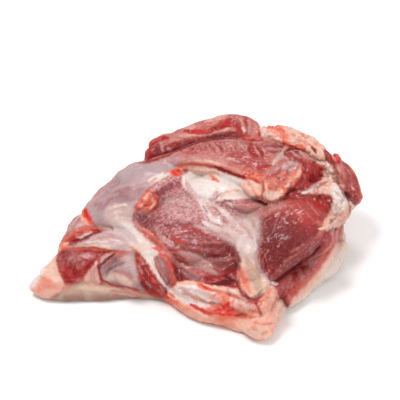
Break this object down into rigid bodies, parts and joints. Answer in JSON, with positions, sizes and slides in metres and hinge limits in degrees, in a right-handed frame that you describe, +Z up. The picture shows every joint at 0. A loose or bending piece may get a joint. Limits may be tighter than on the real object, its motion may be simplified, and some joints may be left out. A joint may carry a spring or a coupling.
{
  "type": "boneless mutton",
  "caption": "Raw boned-out joint of mutton lying on its fat side, cut face up, with folded muscles, a broad film-covered muscle and loose flaps of fat.",
  "frame": {"origin": "centre of the bounding box, on the underside that the joint lies on", "axes": "+X along the joint from its thin end to its thick end, +Z up through its thickness with the cut side up"},
  "size_m": [0.287, 0.2122, 0.094],
  "materials": {
    "flesh": "moist raw meat: red muscle, creamy white fat and bluish silver skin"
  },
  "bodies": {
    "root": {"mutton": "flesh"}
  },
  "joints": []
}
